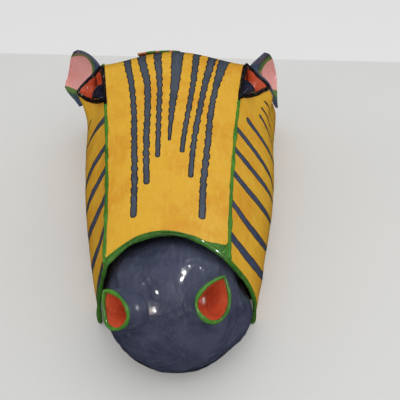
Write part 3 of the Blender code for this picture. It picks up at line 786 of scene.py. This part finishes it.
def cheek_panel(word, side):
    """A cheek with its eye opening cut out."""
    down = np.linspace(0, 1, 112)
    part = np.linspace(0, 1, 330)
    start = cheek_front(side, down)
    end = SHELL_END - 0.002
    s = start[:, None] + (end - start[:, None]) * part[None, :]
    drop = 0.0012 / seam(s)[2]
    d = drop + (1 - drop) * down[:, None]
    distance, near = signed_to_outline(s, d, eye_outline(side))
    skip = distance < 0
    touched = skip.copy()
    for shift in ((1, 0), (0, 1), (-1, 0), (0, -1)):
        touched |= np.roll(skip, shift, axis=(0, 1))
    edge = touched & (np.abs(distance) < 0.0022)
    s = np.where(edge, near[..., 0], s)
    d = np.where(edge, near[..., 1], d)
    gone = skip[:-1, :-1] & skip[1:, :-1] & skip[1:, 1:] & skip[:-1, 1:]
    points = cheek_points(side, s, d)
    normals = cheek_normals(side, s, d)
    shape = boxed(hand_made(points, normals, 0.9, 20.0 + side))
    shape[-1, :, 2] = 0.0
    mesh = grid_mesh("cheek_" + word, shape, inside=tuple(place(0.0, 0.12, 0.04)), skip=gone)
    store(mesh, "ink", cheek_ink(side, s, d))
    height = seam(s)[2]
    margin = 0.0016 + 0.0006 * rough(points, 60, 5)
    front = margin - (s - start[:, None])
    store(mesh, "leaf", np.maximum(front, 0.0008 - d * height))
    beside_eye = (s > EYE_FRONT[side][0] - 0.003) & (s < EYE_BACK[side][0] + 0.003)
    lid = LID_WIDTH - np.abs(np.where(edge, 0.0, distance))
    store(mesh, "brow", np.minimum(s - EYE_OUTER[side][0] + 0.006, (0.30 - d) * height))
    store(mesh, "lid", np.where(beside_eye, np.maximum(lid, 0.004 - d * height), lid))
    strokes = (("brow", EAR_SLATE, None), ("ink", CHEEK_STRIPE, STRIPE_EDGE),
               ("leaf", GREEN, None), ("lid", BLACK, None))
    paint = painted("cheek_paint_" + word, YELLOW, strokes)
    obj = add_piece("cheek_paper_" + word, mesh, "painted_yellow", [paint, INSIDE_CARD],
                    "cheek_panel_" + word)
    edit_mesh(obj.data, drop_loose)
    thicken(obj, WALL, inner=1)
    stand_flat(obj)


def seam_bead(name, side, start, end, node, seed, black_from=NEVER):
    """A green bead of paper along a seam, black from a given distance on."""
    s = np.linspace(start, end, int((end - start) / 0.0012))
    half_width, y, z = seam(s)
    out = cheek_normals(side, s, np.full(s.shape, 0.05))
    path = place(side * half_width, y, z) + out * 0.0002 - np.array([0, 0, 0.0007])
    facing = out + np.array([0, 0, 0.8])
    width = 0.0040 + 0.0008 * np.sin(s * 160 + seed)
    mesh = tube_mesh(name, path, width, 0.0034, facing, sides=BEAD_SIDES, seed=seed, lumps=0.16)
    store(mesh, "tear", np.repeat(s - black_from, BEAD_SIDES))
    add_piece(name, mesh, "painted_green", [SEAM_PAINT], node)


# --- muzzle ------------------------------------------------------------------------------
CUP_COLUMNS = 96
CUP_ROWS = 110


def muzzle_rim():
    """The green edge of the arch, wider where it meets the seams."""
    paths, facing, width = [], [], []
    for side in (-1, 1):
        d = np.linspace(1, 0.06, 40)
        leg = cheek_points(side, cheek_front(side, d), d)
        a = np.linspace(0.97, 0.03, 60)
        top = strip_points(side * a, arch_front(a, side))
        path = np.vstack([leg, top])
        paths.append(path if side == -1 else path[::-1])
    path = resample(np.vstack(paths), 230)
    centre = place(0.0, 0.0, 0.05)
    inward = centre - path
    inward[:, 1] = 0
    inward /= np.linalg.norm(inward, axis=1, keepdims=True)
    path = path + inward * 0.0012 + np.array([0, -0.0016, 0])
    path[:, 2] = np.maximum(path[:, 2], 0.0022)
    facing = -inward * 0.35 + np.array([0, -1.0, 0])
    along = np.linspace(0, 1, len(path))
    width = 0.0040 + 0.0007 * np.sin(along * 46) + 0.0012 * np.exp(-((along - 0.04) / 0.05) ** 2)
    mesh = tube_mesh("muzzle_rim", path, width, 0.0040, facing, sides=20, seed=4.0, lumps=0.20)
    add_piece("muzzle_rim_paper", mesh, "painted_green", [RIM_PAINT], "muzzle_rim")


def gusset(word, side, reach, spread):
    """A small paper web that fills the corner between the strip, the seam and the rim."""
    rows = []
    for k in np.linspace(0, 1, 24):
        row = []
        for j in np.linspace(0, 1, 24):
            front = arch_front(0.96, side) - 0.0006 + reach * k * (1 - 0.85 * j)
            across = side * (0.985 - spread * j * (1 - 0.8 * k))
            front = max(front, float(arch_front(abs(across), side)) - 0.0004)
            row.append(strip_points(across, np.array(front), 0.0004 + 0.0010 * (1 - k) * (1 - j)))
        rows.append(row)
    points = np.array(rows)
    normals = turned_away(points, grid_normals(points), BELOW)
    points = hand_made(points, normals, 0.6, 31)
    mesh = grid_mesh("gusset_" + word, points, inside=BELOW)
    obj = add_piece("muzzle_gusset_paper_" + word, mesh, "painted_green", [GREEN_PAINT],
                    "muzzle_gusset_" + word)
    thicken(obj, 0.0012)


def nostril_axes(side):
    """A nostril's mouth, and its directions inward, to its tip and across it."""
    offset = np.array(NOSTRIL_CENTRE[side])
    inward = -offset / np.linalg.norm(offset)
    lean = np.array([0, 0.8, 0.6])
    up = lean - inward * inward.dot(lean)
    up /= np.linalg.norm(up)
    across = np.cross(up, inward)
    across *= np.sign(across[0])
    turn = NOSTRIL_TURN[side]
    tip = up * math.cos(turn) + across * side * math.sin(turn)
    flat = across * math.cos(turn) - up * side * math.sin(turn)
    return bowl_centre() + offset, inward, tip, flat


def teardrop(count):
    """A unit outline, pointed at its tip."""
    t = 2 * math.pi * np.arange(count) / count
    return np.stack([1.18 * np.sin(t) * np.abs(np.sin(t / 2)) ** 0.8, np.cos(t)], axis=1)


def in_cup(points, side):
    """True for the places that lie within the middle of a nostril cup's wall."""
    mouth, inward, tip, flat = nostril_axes(side)
    gap = points - mouth
    depth = np.sum(gap * inward, axis=-1)
    scale = np.interp(depth, [ring[0] for ring in CUP_RINGS], [ring[1] for ring in CUP_RINGS])
    half_width, half_length = NOSTRIL_SIZE[side]
    x = np.sum(gap * flat, axis=-1) / (half_width * scale + CUP_HOLD)
    y = np.sum(gap * tip, axis=-1) / (half_length * scale + CUP_HOLD)
    outline = teardrop(CUP_COLUMNS)
    within = np.zeros(x.shape, bool)
    for a, b in zip(outline, np.roll(outline, -1, axis=0)):
        if a[1] != b[1]:
            crosses = (a[1] > y) != (b[1] > y)
            within ^= crosses & (x < (b[0] - a[0]) * (y - a[1]) / (b[1] - a[1]) + a[0])
    return within & (depth > 0) & (depth < CUP_RINGS[-1][0])


def muzzle_bowl():
    """Half a ball of pasted paper, drawn up round the nostrils, with a black painted shadow on its right side
    by the rim.
    """
    centre = bowl_centre()
    tilt = math.pi / 2 - BOWL_TILT
    polar = np.linspace(0.0, math.pi / 2, 140)[:, None]
    round_ = np.linspace(0, 2 * math.pi, 360, endpoint=False)[None, :]
    local = np.stack([np.sin(polar) * np.cos(round_), np.sin(polar) * np.sin(round_),
                      np.cos(polar) * np.ones_like(round_)], axis=-1)
    turned = local.copy()
    turned[..., 1] = local[..., 1] * math.cos(tilt) - local[..., 2] * math.sin(tilt)
    turned[..., 2] = local[..., 1] * math.sin(tilt) + local[..., 2] * math.cos(tilt)
    points = centre + turned * (BOWL_RADIUS - 0.0004)
    shape = hand_made(points, turned, 1.0, 50)
    creases = np.abs(rough(points, 30, 61)) ** 0.6 + 0.5 * np.abs(rough(points, 80, 67)) ** 0.6
    shape = shape - turned * (0.0018 * creases)[..., None]
    for (x, y, z), push, size in BOWL_DENTS:
        towards = np.array([x, y, z]) / math.sqrt(x * x + y * y + z * z)
        turn = np.arccos(np.clip(np.sum(turned * towards, axis=-1), -1, 1))
        shape = shape + turned * (push * np.exp(-(turn / size) ** 2))[..., None]
    patchy = rough(points, 38, 71)
    for side in (-1, 1):
        mouth, inward, tip, flat = nostril_axes(side)
        root = mouth + inward * 0.015
        gap = points - root
        x = np.sum(gap * flat, axis=-1) / (NOSTRIL_SIZE[side][0] * 0.95)
        y = np.sum(gap * tip, axis=-1) / NOSTRIL_SIZE[side][1]
        near = np.hypot(x, y)
        mound = 0.0042 * np.exp(-(near / 1.05) ** 4)
        groove = -0.0020 * np.exp(-((near - 1.75) / 0.35) ** 2) * np.clip(0.3 + 1.6 * patchy, 0, 1)
        ridge = 0.0030 * np.exp(-(x / 0.35) ** 2) * np.exp(-((y - 1.35) / 0.75) ** 2)
        shape = shape + turned * (mound + groove + ridge)[..., None]
    lip = np.clip(shape[..., 2:] / FLAT_FOOT, 0, 1)
    shape = points + (shape - points) * lip
    shape[..., 2] = np.maximum(shape[..., 2], 0.0)
    # Painted shadow: a black patch on the bowl's right side near the rim stands for the dark gap between bowl
    # and rim; the gap attribute is metres inside the patch's edge.
    gap = np.array(BOWL_SHADE_DIRECTION) / np.linalg.norm(BOWL_SHADE_DIRECTION)
    away = np.arccos(np.clip(np.sum(turned * gap, axis=-1), -1, 1)) * BOWL_RADIUS
    hole = in_cup(shape, -1) | in_cup(shape, 1)
    ahead = np.roll(hole, -1, axis=1)
    gone = hole[:-1] & hole[1:] & ahead[:-1] & ahead[1:]
    mesh = grid_mesh("muzzle_bowl", shape, closed=True, cap_start=True, inside=tuple(centre),
                     skip=gone)
    dark = np.append(BOWL_SHADE_SIZE - away, -BOWL_SHADE_SIZE)
    store(mesh, "gap", dark[:len(mesh.vertices)])
    edit_mesh(mesh, drop_loose)
    obj = add_piece("muzzle_bowl_paper", mesh, "painted_slate",
                    [BOWL_PAINT, INSIDE_CARD, SLATE_EDGE], "muzzle_bowl")
    thicken(obj, WALL, inner=1, rim=2)
    stand_flat(obj)


def nostril(word, side):
    """A rolled paper cup: red inside, slate outside, drawn out to the bowl at its root."""
    mouth, inward, tip, flat = nostril_axes(side)
    drop = teardrop(CUP_COLUMNS)
    half_width, half_length = NOSTRIL_SIZE[side]
    centre = bowl_centre()

    def ring(depth, scale, grow=0.0):
        wide = half_width * scale + grow
        long = half_length * scale + grow
        fold = 0.0008 * np.sin(np.arange(CUP_COLUMNS) * 2 * math.pi / CUP_COLUMNS * 3 + side)
        pushed = inward * (depth + fold[:, None] * min(1, scale))
        return mouth + pushed + drop[:, :1] * flat * wide + drop[:, 1:] * tip * long

    inner = [ring(0.0235, 0.08)]
    inner += [ring(depth * 0.75, scale) for depth, scale in CUP_RINGS[::-1]]
    outer = [ring(0.0005, 0.97, 0.0022), ring(0.003, 0.93, 0.0023), ring(0.007, 0.86, 0.0024),
             ring(0.0105, 0.84, 0.0030), ring(0.0135, 0.90, 0.0040), ring(0.0160, 1.02, 0.0050)]
    skirt = outer[-1] - centre
    skirt = skirt / np.linalg.norm(skirt, axis=1, keepdims=True)
    outer[-1] = centre + skirt * (BOWL_RADIUS - 0.0006)
    below = [ring(0.021, 0.62, 0.0022), ring(0.027, 0.42, 0.0022), ring(0.0335, 0.12, 0.0022)]
    rings = np.array(inner + outer + below)
    fine, normals = lofted(rings, CUP_ROWS)
    fine = hand_made(fine, normals, 0.45, 70 + side)
    mesh = grid_mesh("nostril_" + word, fine, closed=True, cap_start=True, cap_end=True)
    inner_share = (len(inner) - 0.5) / (len(rings) - 1)
    limit = int(inner_share * CUP_ROWS) * CUP_COLUMNS
    for polygon in mesh.polygons:
        polygon.material_index = 0 if min(polygon.vertices) < limit else 1
    add_piece("nostril_paper_" + word, mesh, "painted_slate", [NOSTRIL_PAINT, CUP_PAINT],
              "nostril_cup_" + word)
    path = resample(ring(-0.0008, 0.99, 0.0010), 150, closed=True)
    mesh = tube_mesh("nostril_edge_" + word, path, 0.0031, 0.0034, -inward, closed=True,
                     seed=80 + side, lumps=0.26)
    add_piece("nostril_edge_" + word, mesh, "painted_green", [GREEN_PAINT], "nostril_rim_" + word)


# --- eyes --------------------------------------------------------------------------------
BOW_POINTS = 22
EYE_CORNER = 2 * BOW_POINTS
SOCKET_ROWS = 60
EYE_LINE_POINTS = 190
SOCKET_RINGS = ((0.0, 0.975), (0.004, 0.93), (0.010, 0.85), (0.017, 0.70), (0.023, 0.46), (0.025, 0.15))


def eye(word, side):
    """An eye's folded socket, its black ring and its ball."""
    outline = eye_outline(side, BOW_POINTS)
    edge = cheek_points(side, outline[:, 0], outline[:, 1])
    outward = cheek_normals(side, outline[:, 0], outline[:, 1])
    middle = edge.mean(axis=0)
    mean = outward.mean(axis=0)
    mean /= np.linalg.norm(mean)
    rings = np.array([middle - mean * depth + (edge - middle) * scale for depth, scale in SOCKET_RINGS])
    fine, normals = lofted(rings, SOCKET_ROWS)
    front, back = edge[0], edge[EYE_CORNER]
    lengthwise = (front - back) / np.linalg.norm(front - back)
    crosswise = np.cross(mean, lengthwise)
    crosswise *= np.sign(np.dot(crosswise, middle - back))
    across = np.sum((fine - back) * crosswise, axis=-1)
    off = side * (fine[..., 0] - ORIGIN.x) - SOCKET_FOLD[side]
    valley = np.exp(-(off / 0.0026) ** 2)
    ridge = np.exp(-((off - 0.0060) / 0.0030) ** 2) + 0.6 * np.exp(-((off + 0.0050) / 0.0022) ** 2)
    fade = np.clip(np.linspace(0, 5, SOCKET_ROWS), 0, 1)[:, None]
    inside = turned_away(fine, normals, tuple(middle))
    fold = (0.0016 * ridge - 0.0018 * valley) * fade
    fine = hand_made(fine, normals, 0.7, 90 + side) - inside * fold[..., None]
    mesh = grid_mesh("socket_" + word, fine, closed=True, cap_end=True,
                     inside=tuple(middle - mean * 0.008))
    # The fold attribute marks painted shade: darker red along the fold's valley, none near the rim.
    store(mesh, "fold", (valley - 0.45) * 0.0040 * fade - 0.0018 * (1 - fade))
    rows = np.arange(float(SOCKET_ROWS))[:, None]
    store(mesh, "lid", np.maximum(0.0016 - 0.0005 * rows, 0.0030 - across))
    obj = add_piece("eye_socket_paper_" + word, mesh, "painted_red", [SOCKET_PAINT], "eye_socket_" + word)
    thicken(obj, THIN_WALL)
    lifted = edge + outward * 0.0008
    lifted[EYE_CORNER:] -= crosswise * 0.0011
    path = resample(lifted, EYE_LINE_POINTS, closed=True)
    along = np.linspace(0, 1, EYE_LINE_POINTS)
    inner_side = np.clip((along - 0.66) / 0.05, 0, 1) * np.clip((1.0 - along) / 0.03, 0, 1)
    width = 0.0028 - 0.0003 * inner_side + 0.0004 * np.sin(along * 50 + side)
    mesh = tube_mesh("eye_line_" + word, path, width, 0.0034, mean, closed=True, seed=95 + side,
                     lumps=0.16)
    add_piece("eye_line_" + word, mesh, "painted_black", [BLACK_PAINT], "eye_rim_" + word)
    eyeball(word, side, edge, middle, mean)


def eyeball(word, side, edge, middle, mean):
    """A glossy ball that rests in the socket's lower corner, trimmed to the socket."""
    bm = bmesh.new()
    bmesh.ops.create_uvsphere(bm, u_segments=64, v_segments=40, radius=EYEBALL_RADIUS)
    mesh = bpy.data.meshes.new("eyeball_" + word)
    bm.to_mesh(mesh)
    bm.free()
    s, down = EYEBALL_PLACE[side]
    at = cheek_points(side, np.array(s), np.array(down)) - mean * EYEBALL_SINK
    mesh.transform(Matrix.Translation(Vector(at)))
    mesh.shade_smooth()
    obj = add_piece("eyeball_gloss_" + word, mesh, "painted_eyes", [EYE_PAINT], "eyeball_" + word)
    rings = [middle + mean * 0.014 + (edge - middle) * 0.95]
    for depth, scale in ((0.002, 0.92), (0.010, 0.81), (0.017, 0.66), (0.022, 0.40)):
        rings.append(middle - mean * depth + (edge - middle) * scale)
    cutter_mesh = grid_mesh("hollow_" + word, np.array(rings), closed=True, cap_start=True, cap_end=True)
    cutter = bpy.data.objects.new("hollow_" + word, cutter_mesh)
    bpy.context.scene.collection.objects.link(cutter)
    modifier = obj.modifiers.new("trim", "BOOLEAN")
    modifier.operation = "INTERSECT"
    modifier.object = cutter
    depsgraph = bpy.context.evaluated_depsgraph_get()
    trimmed = bpy.data.meshes.new_from_object(obj.evaluated_get(depsgraph))
    obj.modifiers.clear()
    obj.data = trimmed
    bpy.data.objects.remove(cutter, do_unlink=True)


# --- ears, mane, back --------------------------------------------------------------------
# Each green band of the mane: its start and end, in metres from the outer edge at its widest.
MANE_BANDS = ((0.0100, 0.0205, GREEN), (0.0240, 0.0355, GREEN), (0.0390, 0.08, RIM_GREEN))


def ear(word, side):
    """A dished ear: slate edges, green lines and a pink middle."""
    spots = np.array(EAR_ROOT[side])
    root = cheek_points(side, spots[:, 0], spots[:, 1])
    root = root + cheek_normals(side, spots[:, 0], spots[:, 1]) * (EAR_LIFT - 0.0026)
    edge = np.array([place(side * x, y, z) for x, y, z in EAR_EDGE[side]])
    roots, edges = bowed(root, 100), bowed(edge, 100)
    w = np.linspace(0, 1, 70)[:, None]
    v = np.linspace(0, 1, 100)[None, :]
    dish = np.array([side * -0.2, 0.8, -0.55])
    sink = EAR_DISH * 4 * w * (1 - w) * np.sin(math.pi * v)
    points = roots[None] * (1 - w[..., None]) + edges[None] * w[..., None] + dish * sink[..., None]
    normals = turned_away(points, grid_normals(points), tuple(place(0.0, 0.6, -0.2)))
    bow = EAR_BOW[side] * 4 * w * (1 - w) * (1 - v) ** 3
    points = points + np.array([0, 0.67, 0.74]) * bow[..., None]
    shape = hand_made(points, normals, 0.45, 110 + side)
    shape = boxed(shape, WALL * 0.6)
    mesh = grid_mesh("ear_" + word, shape, inside=tuple(place(0.0, 0.6, -0.2)))
    v = np.broadcast_to(v, sink.shape)
    w = np.broadcast_to(w, sink.shape)
    belly = 4 * w * (1 - w)
    if side == -1:
        upper, lower = 0.33 - 0.20 * belly - 0.05 * w, 0.71
    else:
        upper, lower = 0.47 - 0.20 * w - 0.07 * belly, 0.73 + 0.05 * w
    pink = np.minimum(v - upper, lower - v)
    store(mesh, "pink", pink * EAR_LENGTH)
    store(mesh, "leaf", (pink + 0.085) * EAR_LENGTH)
    store(mesh, "moss", (pink + 0.140) * EAR_LENGTH)
    strokes = (("moss", MOSS, None, 0.0025), ("leaf", LEAF, None, 0.0018),
               ("pink", PINK, None, 0.0005))
    paint = painted("ear_paint_" + word, EAR_SLATE, strokes)
    obj = add_piece("ear_paper_" + word, mesh, "painted_slate", [paint, SLATE_EDGE], "ear_" + word)
    thicken(obj, WALL, offset=0.0, inner=1, rim=1)
    stand_flat(obj)


def mane():
    """The crest behind the crown, banded in orange and green."""
    s = np.linspace(*MANE_SPAN, 120)
    part = ((s - MANE_SPAN[0]) / (MANE_SPAN[1] - MANE_SPAN[0]))[:, None]
    out = np.linspace(0, 1, 60)[None, :]
    reach = MANE_REACH * (1 - 0.45 * part ** 1.5)
    half_width = seam(s)[0][:, None]
    across = (0.006 - (reach + 0.006) * out) / half_width
    points = strip_points(across, s[:, None] * np.ones_like(out), MANE_STAND + MANE_LIFT * out)
    normals = turned_away(points, grid_normals(points), (0, 0, -0.1))
    shape = hand_made(points, normals, 0.7, 130)
    mesh = grid_mesh("mane", shape, inside=(0, 0, -0.1))
    width = (1 - out) * MANE_REACH * np.ones_like(part)
    store(mesh, "band", width)
    graph = Graph("mane_paint")
    wander = graph.math("MULTIPLY_ADD", graph.noise(300, 3, 0.6), 0.0016, -0.0008)
    place_ = graph.math("ADD", graph.attribute("band"), wander)
    color = mottled(graph, ORANGE)
    for low, high, shades in MANE_BANDS:
        inside = graph.math("MULTIPLY", graph.ramp(place_, low - 0.0003, low + 0.0003),
                            graph.ramp(place_, high + 0.0003, high - 0.0003))
        color = graph.mix(inside, color, mottled(graph, shades, 5.0))
    graph.link(color, graph.shader.inputs["Base Color"])
    varnish(graph)
    obj = add_piece("mane_paper", mesh, "painted_orange", [graph.material], "mane_crest")
    thicken(obj, 0.0022, offset=0.0)


def coat_nodes(material, *names):
    """Give CAD nodes a finish of their own."""
    for name in names:
        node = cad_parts[name]
        node.data.materials.clear()
        node.data.materials.append(material)


def batten_finish():
    """Plain sawn wood."""
    graph = Graph("batten")
    grain = graph.noise(45, 6, 0.6, stretch=(0.25, 5, 5), distortion=1.2)
    color = graph.mix(graph.ramp(grain, 0.35, 0.7), (0.50, 0.34, 0.19), (0.30, 0.19, 0.10))
    normal = graph.bump(graph.noise(160, 5, 0.7, stretch=(0.15, 4, 4)), 0.0004, 0.6)
    graph.fill(graph.shader, {"Base Color": color, "Normal": normal, "Roughness": 0.75})
    coat_nodes(graph.material, "back_brace")


def wire_finish():
    """Dull steel."""
    graph = Graph("wire_steel")
    tone = graph.ramp(graph.noise(400, 4, 0.6), 0.35, 0.7)
    color = graph.mix(tone, (0.42, 0.42, 0.43), (0.60, 0.60, 0.61))
    uneven = graph.math("MULTIPLY_ADD", graph.noise(250, 3, 0.6), 0.25, 0.22)
    graph.fill(graph.shader, {"Base Color": color, "Metallic": 1.0, "Roughness": uneven})
    coat_nodes(graph.material, "hanging_wire", "wire_staple_left", "wire_staple_right")


def floor():
    """A white table with a paler wall or cloth beyond its far end, glowing faintly as painted light that
    lightens the shadows on it.
    """
    mesh = bpy.data.meshes.new("table_top")
    corners = [(x * FLOOR_HALF_SIZE, y * FLOOR_HALF_SIZE, 0) for x, y in ((-1, -1), (1, -1), (1, 1), (-1, 1))]
    mesh.from_pydata(corners, [], [(0, 1, 2, 3)])
    obj = bpy.data.objects.new("table_top", mesh)
    bpy.context.scene.collection.objects.link(obj)
    graph = Graph("table_white")
    spot = graph.node("ShaderNodeSeparateXYZ", {0: graph.place()})
    y = graph.math("MULTIPLY_ADD", spot.outputs["X"], -TABLE_END_SLOPE, spot.outputs["Y"])
    end = TABLE_END_Y + ORIGIN.y
    beyond = graph.ramp(y, end - TABLE_END_BLUR, end + TABLE_END_BLUR)
    blotches = graph.ramp(graph.noise(3, 2, 0.5), 0.3, 0.7)
    tone = graph.mix(blotches, (0.51, 0.515, 0.508), (0.53, 0.535, 0.528))
    color = graph.mix(beyond, tone, (0.63, 0.63, 0.645))
    graph.fill(graph.shader, {
        "Base Color": color, "Roughness": 0.55, "Emission Color": SKY, "Emission Strength": FLOOR_PAINTED_LIGHT})
    obj.data.materials.append(graph.material)
    obj.visible_glossy = False


# --- build -------------------------------------------------------------------------------
camera()
studio()
floor()
INSIDE_CARD = raw_card("inside_card")
GREEN_PAINT = painted("green_paint", GREEN, lumps=0.6)
SEAM_PAINT = painted("seam_paint", GREEN, (("tear", BLACK, None),), lumps=0.6)
RIM_PAINT = painted("rim_paint", RIM_GREEN, lumps=0.8, coat=0.6, coat_roughness=0.06, sparkle=1.3)
BLACK_PAINT = painted("black_paint", BLACK, lumps=0.5, roughness=0.5, coat=0.15)
NOSTRIL_PAINT = painted("nostril_paint", NOSTRIL_RED, coat=0.9, coat_roughness=0.05, sparkle=1.5)
# The socket's fold stroke is painted shade in the crease; its lid stroke is the black rim paint.
SOCKET_STROKES = (("fold", CREASE_SHADE_RED, None, 0.0012), ("lid", BLACK, None))
SOCKET_PAINT = painted("socket_paint", SOCKET_RED, SOCKET_STROKES, lumps=0.8)
WET_FINISH = {"roughness": 0.32, "coat": 0.9, "coat_roughness": 0.03, "lumps": 1.5, "sparkle": 1.3}
CUP_PAINT = painted("cup_paint", SLATE, **WET_FINISH)
# The bowl's black stroke is a painted shadow for the dark gap between the bowl and the rim.
BOWL_PAINT = painted("bowl_paint", SLATE, (("gap", BLACK, None, 0.006),), **WET_FINISH)
SLATE_EDGE = painted("slate_paint", SLATE)
EYE_PAINT = painted("eye_paint", EYE_BLUE, roughness=0.2, coat=1.0, coat_roughness=0.02, lumps=0.25)

face_strip()
muzzle_rim()
gusset("left", -1, 0.007, 0.10)
gusset("right", 1, 0.017, 0.26)
muzzle_bowl()
for WORD, SIDE in SIDES.items():
    cheek_panel(WORD, SIDE)
    EYE_START = EYE_FRONT[SIDE][0]
    seam_bead("seam_line_" + WORD, SIDE, 0.001 - CORNER_REACH[SIDE], EYE_START + 0.002,
              "seam_" + WORD, 10 + SIDE, EYE_START - 0.010)
    seam_bead("crown_seam_line_" + WORD, SIDE, CROWN_SEAM_START[SIDE], SHELL_END - 0.006,
              "crown_seam_" + WORD, 14 + SIDE)
    nostril(WORD, SIDE)
    eye(WORD, SIDE)
    ear(WORD, SIDE)
mane()
batten_finish()
wire_finish()
# The collar is painted black rather than slate: painted shade for the dark gap between the bowl and the arch.
coat_nodes(painted("collar_paint", BLACK), "muzzle_collar")
